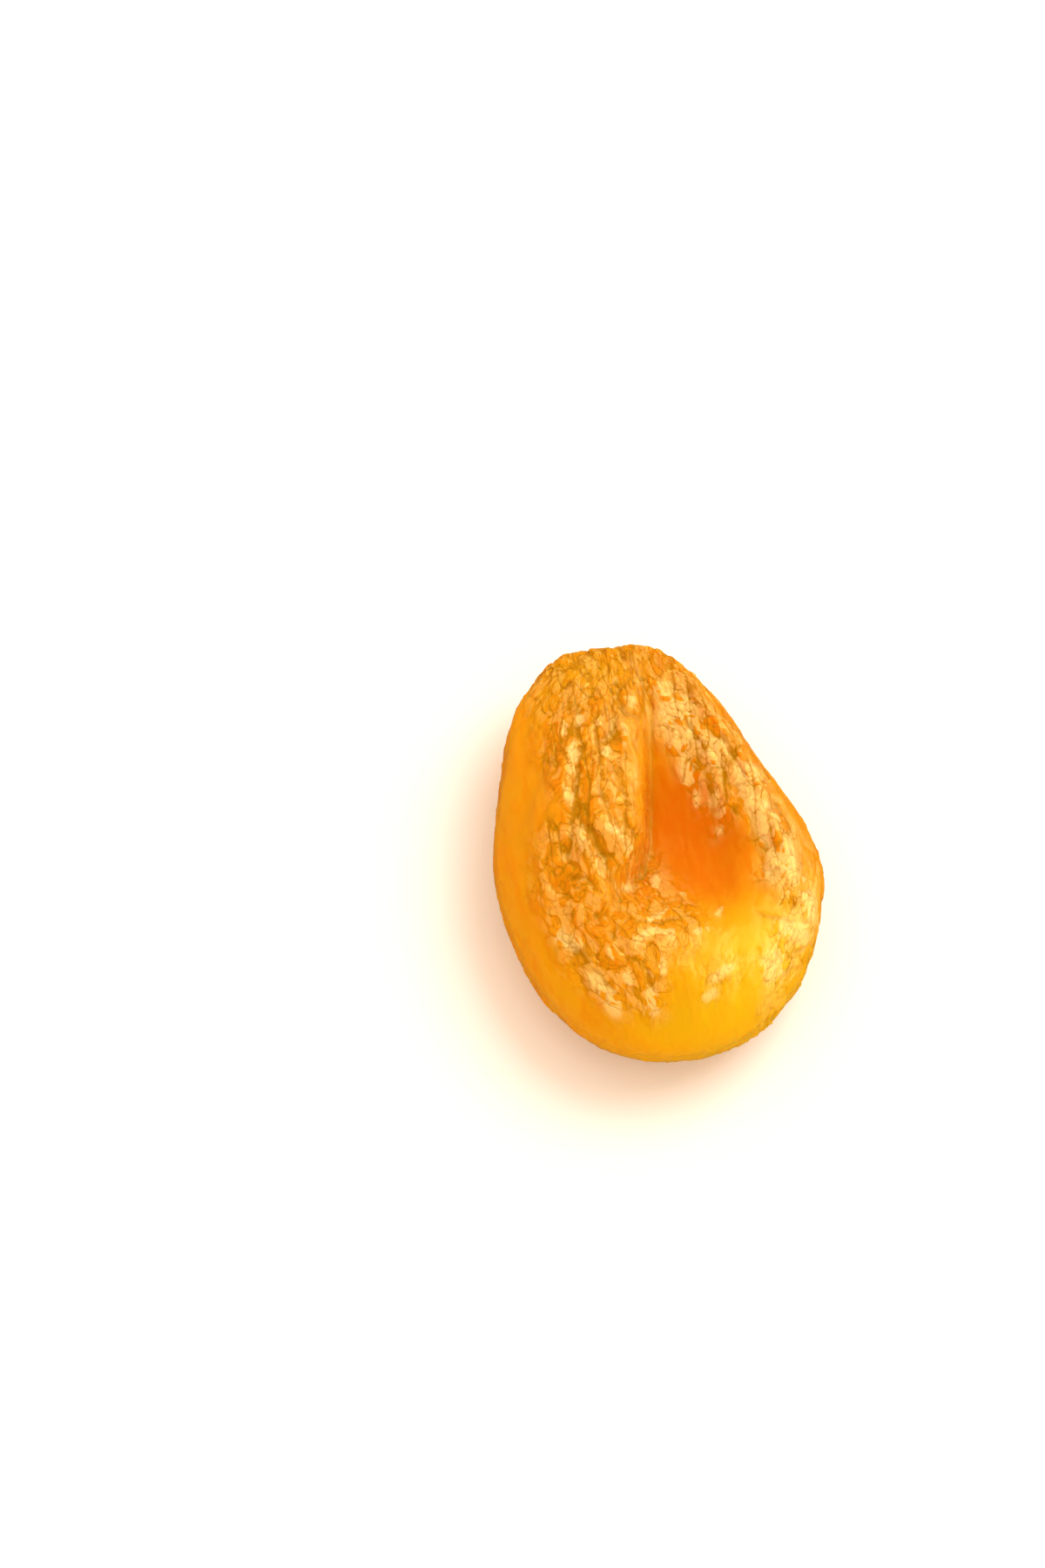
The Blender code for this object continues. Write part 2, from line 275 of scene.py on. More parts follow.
# the crumpled parts of the upper side, outlines from above in mm; the skin between them is plump and
# smooth. cover is how much more of the area is pale patches, which are partly a painted highlight
crumpledAreas = [
    # the left lobe and the middle below it
    {"share": 0.55, "cover": -0.02,
     "outline": [(-5.8, 16.8), (-8.9, 13.7), (-9.5, 8.1), (-9.3, 3.7), (-10.9, 0.8), (-12.3, -4.1),
                 (-11.7, -7.8), (-11.2, -11.2), (-9.6, -12.9), (-9.0, -14.6), (-7.4, -16.4), (-5.7, -17.4),
                 (-2.4, -17.4), (-1.4, -15.0), (0.3, -12.9), (3.4, -10.2), (2.6, -8.1), (1.9, -5.6),
                 (0.3, -2.3), (-1.4, 0.3), (-1.9, 3.7), (-1.5, 7.9), (0.0, 12.5), (2.1, 16.3)]},
    # the right rim
    {"share": 0.6, "cover": 0.1,
     "outline": [(2.5, 16.5), (1.7, 10.7), (3.2, 6.6), (4.9, 3.7), (6.4, 0.1), (8.0, 2.8), (8.9, -1.0),
                 (9.2, -6.1), (10.8, -9.4), (13.1, -10.6), (13.7, -6.0), (13.1, -1.5), (11.4, 5.0),
                 (8.4, 11.8), (5.4, 18.2), (4.3, 18.9)]},
    # the ripe lower right, and a few patches beside it
    {"share": 0.5, "cover": 0.08,
     "outline": [(9.5, -9.9), (13.4, -9.8), (12.8, -12.8), (10.0, -15.9), (7.0, -17.9), (6.7, -14.3),
                 (8.2, -11.7)]},
    {"share": 0.4, "cover": 0.03,
     "outline": [(1.5, -14.4), (4.8, -13.1), (5.5, -14.2), (2.3, -16.9), (0.9, -16.7)]},
    # the stem end
    {"share": 0.5, "cover": 0.0,
     "outline": [(-9.5, 14.0), (-6.0, 16.5), (2.0, 16.0), (5.4, 17.6), (7.5, 14.0), (8.5, 22.0),
                 (-9.5, 22.0)]},
]

# creases of the photographed fruit, paths from above in mm; they are pressed in, and also painted darker as
# shade
creases = [
    {"path": [(-1.9, 14.9), (-2.2, 11.4), (-2.7, 10.0), (-3.4, 9.1), (-4.5, 8.5)],
     "width": 0.24, "depth": 0.20},
    {"path": [(-5.3, 13.6), (-5.8, 10.6), (-5.9, 8.5), (-6.3, 6.5), (-7.4, 3.5), (-7.7, 1.5)],
     "width": 0.26, "depth": 0.22},
    {"path": [(-7.7, 1.6), (-6.6, -0.2), (-5.8, -2.4), (-5.1, -4.4)], "width": 0.24, "depth": 0.20},
    {"path": [(-7.7, 1.4), (-8.4, -0.4), (-8.8, -2.6)], "width": 0.24, "depth": 0.18},
    {"path": [(-3.6, 13.4), (-4.2, 11.2), (-4.4, 6.4), (-4.9, 3.0)], "width": 0.24, "depth": 0.16},
    {"path": [(-0.6, 15.9), (-1.5, 13.8), (-1.2, 11.9), (-0.1, 11.2), (0.7, 12.6), (0.8, 14.6)],
     "width": 0.24, "depth": 0.18},
    {"path": [(0.3, 10.6), (-0.7, 8.6), (-0.9, 6.9)], "width": 0.24, "depth": 0.14},
    {"path": [(-2.6, 6.8), (-2.9, 3.8), (-2.6, 1.0)], "width": 0.24, "depth": 0.12},
    {"path": [(-9.2, -3.8), (-7.4, -5.0), (-6.2, -6.6)], "width": 0.26, "depth": 0.16},
    {"path": [(-3.6, -9.4), (-1.4, -9.6), (0.8, -8.7)], "width": 0.26, "depth": 0.16},
    {"path": [(-10.6, -9.0), (-9.6, -11.0), (-8.2, -13.0)], "width": 0.28, "depth": 0.16},
    {"path": [(-8.4, -12.6), (-7.4, -14.2), (-6.4, -15.8)], "width": 0.28, "depth": 0.18},
    {"path": [(-4.6, -12.6), (-3.6, -14.2), (-3.2, -15.8)], "width": 0.28, "depth": 0.16},
    {"path": [(7.4, -8.8), (9.2, -9.6), (11.8, -9.8)], "width": 0.28, "depth": 0.09},
    {"path": [(3.7, 14.2), (4.8, 10.6), (6.2, 8.2)], "width": 0.24, "depth": 0.18},
    {"path": [(6.9, 10.0), (8.2, 7.2), (9.2, 4.0)], "width": 0.24, "depth": 0.12},
]

# raised ridges of the photographed fruit, painted pale as a highlight, paths from above in mm
highlightRidges = {
    "height": 0.07,             # mm
    "cover": 0.25,              # how much more of a ridge is pale patches, which paint a highlight
    "strokes": [
        # the left lobe
        {"path": [(-6.6, 9.7), (-6.9, 7.1), (-7.5, 5.0)], "width": 0.6},
        {"path": [(-8.4, 4.4), (-8.0, 2.8)], "width": 0.35},
        {"path": [(-7.4, 4.0), (-7.6, 2.7)], "width": 0.35},
        {"path": [(-3.4, 8.7), (-4.3, 7.1)], "width": 0.5},
        {"path": [(-1.8, 11.4), (-1.5, 9.9), (-1.5, 8.7), (-2.4, 7.9)], "width": 0.4},
        {"path": [(-0.3, 14.0), (-0.4, 12.2)], "width": 0.6},
        {"path": [(-4.4, 11.4), (-3.7, 10.2)], "width": 0.35},
        {"path": [(-7.1, 11.8), (-7.2, 9.8)], "width": 0.4},
        {"path": [(-5.5, 12.3), (-5.6, 10.6)], "width": 0.35},
        {"path": [(-7.5, 0.7), (-7.5, -0.8), (-7.3, -2.7)], "width": 0.6},
        {"path": [(-5.5, 0.1), (-4.5, -0.6), (-3.8, -0.2)], "width": 0.55},
        {"path": [(-4.2, -0.8), (-3.4, -1.6), (-2.9, -3.2)], "width": 0.5},
        # the middle, below the basin's left end
        {"path": [(-0.1, -3.1), (-0.8, -4.0), (-1.1, -5.2)], "width": 0.55},
        {"path": [(-3.1, -8.8), (-2.2, -9.2), (-1.3, -8.7), (-0.1, -7.7)], "width": 0.5},
        {"path": [(-4.6, -12.5), (-4.0, -11.1), (-3.0, -10.9), (-1.6, -10.4), (-0.7, -11.0), (-0.6, -12.1)],
         "width": 0.5},
        {"path": [(-2.0, -12.9), (-2.0, -14.1), (-2.2, -15.1)], "width": 0.55},
        {"path": [(-5.3, -13.8), (-4.9, -15.3)], "width": 0.4},
        {"path": [(-6.3, -11.4), (-6.3, -12.7)], "width": 0.4},
        {"path": [(-3.9, -5.5), (-3.1, -4.4)], "width": 0.45},
        {"path": [(1.1, -5.6), (1.7, -6.3)], "width": 0.4},
        {"path": [(1.3, -11.1), (2.2, -10.6), (3.0, -10.2)], "width": 0.55},
        {"path": [(3.7, -9.4), (4.3, -8.6), (4.7, -7.9)], "width": 0.4},
        # the lower left and the bottom
        {"path": [(-10.9, -8.2), (-10.0, -10.0), (-8.6, -10.9)], "width": 0.8},
        {"path": [(-9.1, -12.6), (-7.9, -14.5), (-7.0, -16.0), (-6.5, -17.2), (-6.0, -18.0)], "width": 0.7},
        {"path": [(-3.4, -15.4), (-3.5, -16.9), (-2.9, -18.0)], "width": 0.65},
        {"path": [(1.8, -16.0), (3.2, -15.1), (5.0, -14.1)], "width": 0.5},
        {"path": [(1.2, -17.1), (2.8, -16.7)], "width": 0.5},
        # the right rim, from the stem end down
        {"path": [(3.0, 16.0), (2.7, 14.0)], "width": 0.6},
        {"path": [(1.9, 11.5), (2.9, 12.7), (4.1, 13.1), (4.7, 12.2)], "width": 1.0},
        {"path": [(2.9, 9.5), (3.7, 10.4), (5.2, 9.9)], "width": 0.9},
        {"path": [(3.9, 8.1), (3.8, 6.8), (4.0, 5.7), (4.7, 5.3)], "width": 0.6},
        {"path": [(5.5, 9.0), (6.6, 8.2), (7.0, 7.4)], "width": 0.7},
        {"path": [(6.3, 7.7), (7.3, 6.3)], "width": 0.5},
        {"path": [(4.7, 4.6), (4.4, 3.1)], "width": 0.35},
        {"path": [(5.8, 4.0), (5.7, 2.7)], "width": 0.4},
        {"path": [(6.3, 2.4), (6.6, 1.6)], "width": 0.45},
        {"path": [(5.7, 0.8), (6.2, 0.2)], "width": 0.4},
        {"path": [(8.6, 5.5), (8.7, 3.7), (9.0, 1.6), (9.4, 0.2), (9.9, -1.0), (10.2, -2.1)], "width": 0.6},
        {"path": [(9.4, 2.0), (10.2, 0.6), (10.9, -0.4)], "width": 0.7},
        {"path": [(9.5, 5.7), (10.1, 4.1)], "width": 0.5},
        {"path": [(10.7, -2.8), (10.1, -4.2), (9.6, -5.9)], "width": 0.6},
        {"path": [(11.6, -2.7), (11.7, -4.5), (12.3, -6.1)], "width": 0.8},
        {"path": [(13.0, -6.8), (13.2, -8.5), (13.2, -10.0)], "width": 0.5},
        {"path": [(9.1, -10.3), (10.7, -10.7), (12.6, -11.3)], "width": 0.9},
        {"path": [(9.1, -13.2), (7.5, -15.2)], "width": 0.9},
    ],
}

# how a crease or a ridge is drawn along its path
strokeForm = {
    "stray": 0.35,              # mm, how far its edges stray
    "straySpacing": 1.6,
    "straySeeds": (4.2, 9.7),
    "endRun": 0.25,             # the share of its length over which it rises from an end
    "endStart": 0.02,
    "endLeft": 0.3,             # how much of it is left at the ends
    "slopes": (0.15, 0.5),      # only where the skin faces up
    "heights": (5.0, 6.5),      # mm, and above the flanks
}


def pathDistance(points, path):
    # distance from above to a path, and how far along it the nearest place is, from 0 to 1
    nearest = np.full(len(points), np.inf)
    place = np.zeros(len(points))
    for index in range(len(path) - 1):
        start = np.array(path[index])
        run = np.array(path[index + 1]) - start
        share = np.clip((points[:, :2] - start) @ run / (run @ run), 0.0, 1.0)
        distance = np.linalg.norm(points[:, :2] - start - share[:, None] * run, axis=1)
        closer = distance < nearest
        nearest[closer] = distance[closer]
        place[closer] = (index + share[closer]) / (len(path) - 1)
    return nearest, place


def insideArea(points, outline, softness):
    # 1 well inside a closed outline seen from above, 0 well outside it
    inside = np.zeros(len(points), dtype=bool)
    for start, end in zip(outline, outline[1:] + outline[:1]):
        between = (start[1] > points[:, 1]) != (end[1] > points[:, 1])
        run = end[1] - start[1] if end[1] != start[1] else 1.0
        crossing = start[0] + (points[:, 1] - start[1]) * (end[0] - start[0]) / run
        inside ^= between & (points[:, 0] < crossing)
    distance, _ = pathDistance(points, outline + outline[:1])
    return ease(-softness, softness, np.where(inside, distance, -distance))


def drawStrokes(points, strokes):
    # 1, or a stroke's own depth, on its line, falling off over its width
    ragged = strayed(points, strokeForm["stray"], strokeForm["straySpacing"], strokeForm["straySeeds"])
    run, start, endLeft = strokeForm["endRun"], strokeForm["endStart"], strokeForm["endLeft"]
    drawn = np.zeros(len(points))
    for stroke in strokes:
        distance, place = pathDistance(ragged, stroke["path"])
        rise = ease(-start, run, place) * ease(1.0 + start, 1.0 - run, place)
        rise = rise * (1.0 - endLeft) + endLeft
        line = stroke.get("depth", 1.0) * rise * np.exp(-(distance / stroke["width"]) ** 2)
        drawn = np.maximum(drawn, line)
    return drawn


def drawFolds(sheet):
    # presses the creases in and lifts the ridges on the upper side, which are then painted pale as a
    # highlight
    normals = sheet.normals(sheet.points)
    onTop = ease(*strokeForm["slopes"], normals[:, 2]) * ease(*strokeForm["heights"], sheet.points[:, 2])
    pressed = onTop * drawStrokes(sheet.points, creases)
    lifted = onTop * drawStrokes(sheet.points, highlightRidges["strokes"])
    sheet.points = sheet.points + normals * (highlightRidges["height"] * lifted - pressed)[:, None]
    return pressed, lifted


# how crumpled each part of the skin is, 1 being full
crumple = {
    "hidden": 0.65,             # the sides away from the basin
    "flank": 0.34,              # the plump left and lower flanks
    "basin": 0.16,
    "most": 1.5,
    "hiddenPatches": 0.3,       # how clearly the pale patches show on the sides
    "flankPatches": 0.12,
    "areaPatches": 1.8,         # and in the crumpled areas, for each share of crumpling
    "upperSlopes": (0.1, 0.45),     # how far the skin faces up where the upper side begins
    "flankSlopes": (0.8, 0.5),
    "flankSide": (-0.8, -0.6),      # the flanks face left and down
    "flankFacing": (-0.1, 0.5),
    "edgeWander": 1.2,          # mm, how far an area's edge strays
    "edgeSpacing": 2.4,
    "edgeSeeds": (6.1, 14.9),
    "edgeSoftness": 1.6,
    "unevenSpacing": 4.0,       # mm, how quickly more and less crumpled skin follow each other
    "unevenMost": 0.25,
    "unevenSeed": 21.3,
    "clearHeights": (0.2, 1.2),     # mm, nothing where the fruit rests
}


def crumpleShare(sheet):
    # how crumpled the skin is, how clearly its pale patches, partly a painted highlight, and the painted
    # shade of its lines show, and how much the patches cover
    points = sheet.points
    normals = sheet.normals(points)

    def everywhere(name):
        return np.full(len(points), crumple[name])

    upper = ease(*crumple["upperSlopes"], normals[:, 2])
    facing = ease(*crumple["flankFacing"], normals[:, :2] @ crumple["flankSide"])
    flank = ease(*crumple["flankSlopes"], np.abs(normals[:, 2])) * facing
    plump = np.maximum(upper, flank)
    share = blended(plump, everywhere("hidden"), blended(upper, everywhere("flank"), crumple["basin"]))
    patched = blended(plump, everywhere("hiddenPatches"), crumple["flankPatches"] * (1.0 - upper))
    cover = np.zeros(len(points))
    ragged = strayed(points, crumple["edgeWander"], crumple["edgeSpacing"], crumple["edgeSeeds"])
    for area in crumpledAreas:
        inside = insideArea(ragged, area["outline"], crumple["edgeSoftness"]) * upper
        share = blended(inside, share, area["share"])
        patched = blended(inside, patched, crumple["areaPatches"] * area["share"])
        cover = blended(inside, cover, area["cover"])
    share *= 1.0 + crumple["unevenMost"] * noiseField(points, crumple["unevenSpacing"], crumple["unevenSeed"])
    clear = ease(*crumple["clearHeights"], points[:, 2])
    return np.clip(share, 0.0, crumple["most"]) * clear, np.clip(patched, 0.0, 1.0) * clear, cover


# the wrinkles: the flesh shrinks as it dries and the skin, which doesn't, buckles
buckling = {
    "spareAcross": 0.014,       # spare skin as a share of its length, round the girth
    "spareAlong": 0.010,        # and from stem to tip
    "bend": 35.0,               # bending stiffness over the flesh's hold, sets a wrinkle's width
    "flesh": 0.0035,            # the flesh's hold on the skin, whose own pull is 1
    "outward": 1.7,             # ridges are held down more than valleys, so valleys are sharper
    "inward": 0.8,
    "sideways": 0.25,
    "steps": 150,
    "pace": 0.35,
    "drag": 0.93,
    "unevenness": 0.05,         # starting bumps, in face widths
    "bumpPasses": 3,            # smoothing passes over them
    "meridians": 1.5,           # how strongly the wrinkles follow the outline
    "leastGirth": 0.2,
    "turnSpacing": 5.0,         # mm, how quickly the wrinkles' direction wanders
    "turnMost": 0.9,            # radians
    "turnSeed": 18.7,
    "seed": 11,
}


def lengthwiseLines(sheet, normals):
    # directions on the skin that run like meridians from the stem end to the tip, and wander
    across, along = sheet.points[:, 0], sheet.points[:, 1]
    halfLength = np.abs(along).max()
    narrowing = np.maximum(1.0 - (along / halfLength) ** 2, buckling["leastGirth"])
    lines = np.tile([0.0, 1.0, 0.0], (len(normals), 1))
    lines[:, 0] = -buckling["meridians"] * across * along / halfLength ** 2 / narrowing
    lines -= normals * np.einsum("ij,ij->i", lines, normals)[:, None]
    lines /= np.linalg.norm(lines, axis=1)[:, None] + 1e-9
    sideways = np.cross(normals, lines)
    turn = buckling["turnMost"] * noiseField(sheet.points, buckling["turnSpacing"], buckling["turnSeed"])
    return lines * np.cos(turn)[:, None] + sideways * np.sin(turn)[:, None]


def buckleSkin(sheet, share):
    # worked in face widths, so that a spring is about 1 long
    width = np.linalg.norm(sheet.points[sheet.edges[:, 0]] - sheet.points[sheet.edges[:, 1]], axis=1).mean()
    start = sheet.points / width
    normals = sheet.normals(start)
    lengthwise = lengthwiseLines(sheet, normals)

    one, other = sheet.springs[:, 0], sheet.springs[:, 1]
    gap = start[other] - start[one]
    length = np.linalg.norm(gap, axis=1)
    along = np.einsum("ij,ij->i", gap / length[:, None], lengthwise[one]) ** 2
    spare = buckling["spareAcross"] * (1.0 - along) + buckling["spareAlong"] * along
    grown = length * (1.0 + 0.5 * (share[one] + share[other]) * spare)

    random = np.random.default_rng(buckling["seed"])
    bumps = sheet.smoothed(random.standard_normal(len(start)), buckling["bumpPasses"])
    bumps *= buckling["unevenness"] / bumps.std()
    skin = start + normals * bumps[:, None]
    speed = np.zeros_like(skin)
    for _ in range(buckling["steps"]):
        gap = skin[other] - skin[one]
        length = np.linalg.norm(gap, axis=1)
        pull = (sheet.stiffness * (length - grown) / length)[:, None] * gap
        moved = skin - start
        force = -buckling["bend"] * buckling["flesh"] * sheet.fromNeighbours(sheet.fromNeighbours(moved))
        for k in range(3):
            force[:, k] += np.bincount(one, pull[:, k], len(skin))
            force[:, k] -= np.bincount(other, pull[:, k], len(skin))
        lift = np.einsum("ij,ij->i", moved, normals)
        hold = np.where(lift > 0.0, buckling["outward"], buckling["inward"]) * buckling["flesh"]
        force -= normals * (lift * hold)[:, None]
        force -= buckling["sideways"] * buckling["flesh"] * (moved - normals * lift[:, None])
        speed = speed * buckling["drag"] + buckling["pace"] * force
        skin = skin + buckling["pace"] * speed
    sheet.points = skin * width


# the facets: between the folds the dry skin is set in small flat plates, each tilted its own way
facets = {
    "Facet Size": 1.5 * mm,
    "Facet Length": 1.5,        # how much longer a plate is from stem to tip than across
    "Half Length": (fruitHigh.y - fruitLow.y) / 2,      # the plates narrow toward both ends
    "Least Girth": 0.3,
    "Facet Tilt": 0.2,          # rise over run of the most tilted plates
    "Line Width": 0.12,
    "Line Depth": 0.08 * mm,
    "Wander": 0.8,              # how crooked the lines are
    "Fine Size": 0.65 * mm,
    "Fine Tilt": 0.10,
    "Fine Depth": 0.03 * mm,
    "Seed": 4.0,
}


def makeFacetTree():
    tree = bpy.data.node_groups.new("skin_facets", "GeometryNodeTree")
    panel = tree.interface
    panel.new_socket("Geometry", in_out="INPUT", socket_type="NodeSocketGeometry")
    for name in facets:
        panel.new_socket(name, in_out="INPUT", socket_type="NodeSocketFloat")
    panel.new_socket("Material", in_out="INPUT", socket_type="NodeSocketMaterial")
    panel.new_socket("Geometry", in_out="OUTPUT", socket_type="NodeSocketGeometry")
    given = addNode(tree, "NodeGroupInput").outputs

    crumpled = addNode(tree, "GeometryNodeInputNamedAttribute", {"data_type": "FLOAT"}, {"Name": "crumple"})
    place = addNode(tree, "GeometryNodeInputPosition").outputs["Position"]
    fromMiddle = addMath(tree, "DIVIDE", addCoordinate(tree, place, "Y"), given["Half Length"])
    girth = addMath(tree, "MAXIMUM", given["Least Girth"],
                    addMath(tree, "SUBTRACT", 1.0, addMath(tree, "MULTIPLY", fromMiddle, fromMiddle)))
    stretch = addNode(tree, "ShaderNodeCombineXYZ", None, {
        "X": addMath(tree, "DIVIDE", 1.0, addMath(tree, "SQRT", girth)),
        "Y": addMath(tree, "DIVIDE", 1.0, given["Facet Length"]),
        "Z": 1.0,
    }).outputs["Vector"]
    place = addVector(tree, "MULTIPLY", place, stretch)
    place = addVector(tree, "ADD", place, addScaled(tree, (mm, mm, mm), given["Seed"]))

    def layer(size, tilt, depth):
        spot = addWander(tree, addScaled(tree, place, addMath(tree, "DIVIDE", 1.0, size)), given["Wander"])
        rise = addMath(tree, "MULTIPLY", addPlateSlope(tree, spot), addMath(tree, "MULTIPLY", tilt, size))
        lines = addMath(tree, "MULTIPLY", addCrinkle(tree, spot, given["Line Width"]), depth)
        return addMath(tree, "SUBTRACT", rise, lines), spot

    broadRise, broadSpot = layer(given["Facet Size"], given["Facet Tilt"], given["Line Depth"])
    fineRise, fineSpot = layer(given["Fine Size"], given["Fine Tilt"], given["Fine Depth"])
    rise = addMath(tree, "MULTIPLY", addMath(tree, "ADD", broadRise, fineRise), crumpled.outputs[0])
    shape = given["Geometry"]
    for name, spot in (("broad_plates", broadSpot), ("fine_plates", fineSpot)):
        # the material draws the crease lines from the same places
        shape = addNode(tree, "GeometryNodeStoreNamedAttribute",
                        {"data_type": "FLOAT_VECTOR", "domain": "POINT"},
                        {"Geometry": shape, "Name": name, "Value": spot}).outputs["Geometry"]
    outward = addNode(tree, "GeometryNodeInputNormal").outputs["Normal"]
    moved = addNode(tree, "GeometryNodeSetPosition", None,
                    {"Geometry": shape, "Offset": addScaled(tree, outward, rise)}).outputs["Geometry"]
    real = addNode(tree, "GeometryNodeRealizeInstances", None, {"Geometry": moved}).outputs["Geometry"]
    dressed = addNode(tree, "GeometryNodeSetMaterial", None,
                      {"Geometry": real, "Material": given["Material"]}).outputs["Geometry"]
    addNode(tree, "NodeGroupOutput", None, {"Geometry": dressed})
    return tree


def setFacets(skin, material):
    tree = makeFacetTree()
    modifier = skin.modifiers.new("facets", "NODES")
    modifier.node_group = tree
    for item in tree.interface.items_tree:
        if item.in_out == "INPUT" and item.name in facets:
            modifier[item.identifier] = facets[item.name]
        elif item.in_out == "INPUT" and item.name == "Material":
            modifier[item.identifier] = material
    applyModifiers(skin)
    print("facets set")


# what the colour follows, kept on the mesh
marks = {
    "reliefPasses": 12,         # smoothing passes that tell the wrinkles from the form under them
    "creaseDepths": (0.03, 0.19),   # mm, a crease's painted shade deepens from the first to the second
    "pressedDepth": 0.12,
    "ridgeHeight": 0.10,
    "basinSlopes": (0.0, 0.3),
    "basinHeights": (11.5, 9.0),
    "ripeHeights": (1.0, 6.0),
}


def addAttribute(mesh, name, values):
    layer = mesh.attributes.new(name, "FLOAT", "POINT")
    layer.data.foreach_set("value", values.astype(np.float32))


def markSkin(mesh, sheet, plain, pressed):
    normals = sheet.normals(plain)
    lift = np.einsum("ij,ij->i", sheet.points - sheet.smoothed(sheet.points, marks["reliefPasses"]), normals)
    shallow, deep = marks["creaseDepths"]
    # painted shade: the deeper a point sits below the smoothed skin, or the harder a crease pressed it, the
    # darker it is coloured
    crease_shade = (-lift - shallow) / (deep - shallow) + pressed / marks["pressedDepth"]
    basin = ovalField(plain, basinZone) * ease(*marks["basinSlopes"], normals[:, 2])
    ripe = np.clip(sum(ovalField(plain, zone) for zone in ripeZones), 0.0, 1.0)
    addAttribute(mesh, "crease_shade", np.clip(crease_shade, 0.0, 1.0))
    # painted highlight: wrinkle ridges standing above the smoothed skin are coloured paler
    addAttribute(mesh, "wrinkle_ridge_highlight", np.clip(lift / marks["ridgeHeight"], 0.0, 1.0))
    addAttribute(mesh, "basin", basin * ease(*marks["basinHeights"], plain[:, 2]))
    addAttribute(mesh, "ripe", ripe * ease(*marks["ripeHeights"], plain[:, 2]))


def keepInBox(sheet):
    # the wrinkled skin stays in the CAD fruit's box and lies on the table
    low = np.array(fruitLow) / mm
    high = np.array(fruitHigh) / mm
    room = skinForm["boxRoom"]
    sheet.points = np.clip(sheet.points, low - [room, room, 0.0], high + room)


def makeSkin(material):
    skin = copyCadFruit()
    sheet = SkinSheet(skin.data)
    plain = sheet.points.copy()
    print("skin faces", len(sheet.faces))
    share, patched, cover = crumpleShare(sheet)
    corner = ovalField(plain, cornerZone) * ease(*skinForm["cornerSlope"], sheet.normals(plain)[:, 2])
    sheet.points = blended(corner[:, None], plain, sheet.smoothed(plain, skinForm["cornerPasses"]))
    pressed, lifted = drawFolds(sheet)
    print("folds drawn")
    buckleSkin(sheet, share)
    keepInBox(sheet)
    skin.data.vertices.foreach_set("co", (sheet.points * mm).ravel())
    skin.data.update()
    print("skin wrinkled")
    addAttribute(skin.data, "crumple", share)
    # where the pale patches, partly a painted highlight, and the painted shade of the lines show
    addAttribute(skin.data, "patched", np.maximum(patched, lifted))
    addAttribute(skin.data, "cover", cover + highlightRidges["cover"] * lifted)
    markSkin(skin.data, sheet, plain, pressed)
    setFacets(skin, material)
    skin.data.shade_smooth()
    return skin


# dried fruit skin: thin, moist and half glossy over translucent flesh, so edges and folds glow
skinLook = {
    "flesh": "E09004",
    "deep": "DE7604",
    "ripe": "E0B40A",
    # pale streaks, and also the painted highlight on wrinkle ridges
    "pale": "E49C18",
    "blotch": 7.0,              # mm, riper blotches
    "blotchRange": (0.4, 0.7),
    "blotchShare": 0.35,
    "between": 0.35,            # how far the skin between the patches deepens
    "wrinkle_ridge_highlight": 0.5,               # and how far a wrinkle's ridge is painted paler, a painted highlight
    "streak": 0.6,              # mm, faint streaks from stem to tip
    "streakStretch": (1.0, 0.16, 0.5),
    "streakRanges": {"pale": (0.45, 0.62), "deep": (0.5, 0.34)},
    "streakShare": 0.3,
    "streakFade": 0.6,          # how far the sunken middle hides them
    "streakRise": 0.04,         # mm
    "streakBump": 0.5,
    # painted shade, laid into the creases and along the crease lines
    "creaseShade": "B87A00",
    "creaseShare": 0.65,
    "lineWidth": 0.06,
    "lineDepth": 0.035,         # mm
    # how dark the crease lines are painted, a painted shade
    "lineShade": 0.85,
    "longLine": 1.5,            # mm between the long lines
    "longStretch": (1.0, 0.2, 1.0),
    "longWander": 0.5,
    "longFades": (-7.0, 0.0),   # mm along the fruit, they fade out below the lobes
    "fineLine": 0.7,            # the short lines' and the fine slopes' shares of the long lines' depth
    "fineSlope": 0.7,
    "patchBloomAndHighlight": "F2D078",          # paler and smoother plates between the crease lines: partly the drier skin's own bloom, partly a painted highlight
    "patchShare": 0.3,          # how far the patches turn to that colour
    "patchEdge": 0.565,         # more makes the patches smaller
    "finePatchEdge": 0.625,
    # painted highlight colour of the raised ridges
    "raisedRidgeHighlight": "FADE8C",
    "ridgeShare": 0.55,
    "ridgeCovers": (0.06, 0.2),
    "ridgeCalm": 0.3,           # how far the lines fade on the pale ridges
    "glossy": 0.12,             # roughness of the patches
    "satin": 0.3,               # of the skin between them
    "dull": 0.24,               # and of the sunken middle
    "sheen": "F4D060",          # the waxy skin's shine is a warm yellow
    "bending": 1.5,             # index of refraction
    "fleshShare": 0.7,          # how much of the light goes through the flesh
    "fleshReach": (1.0, 0.35, 0.06),    # of red, green and blue in it
    "scatter": 2.0,             # mm
}


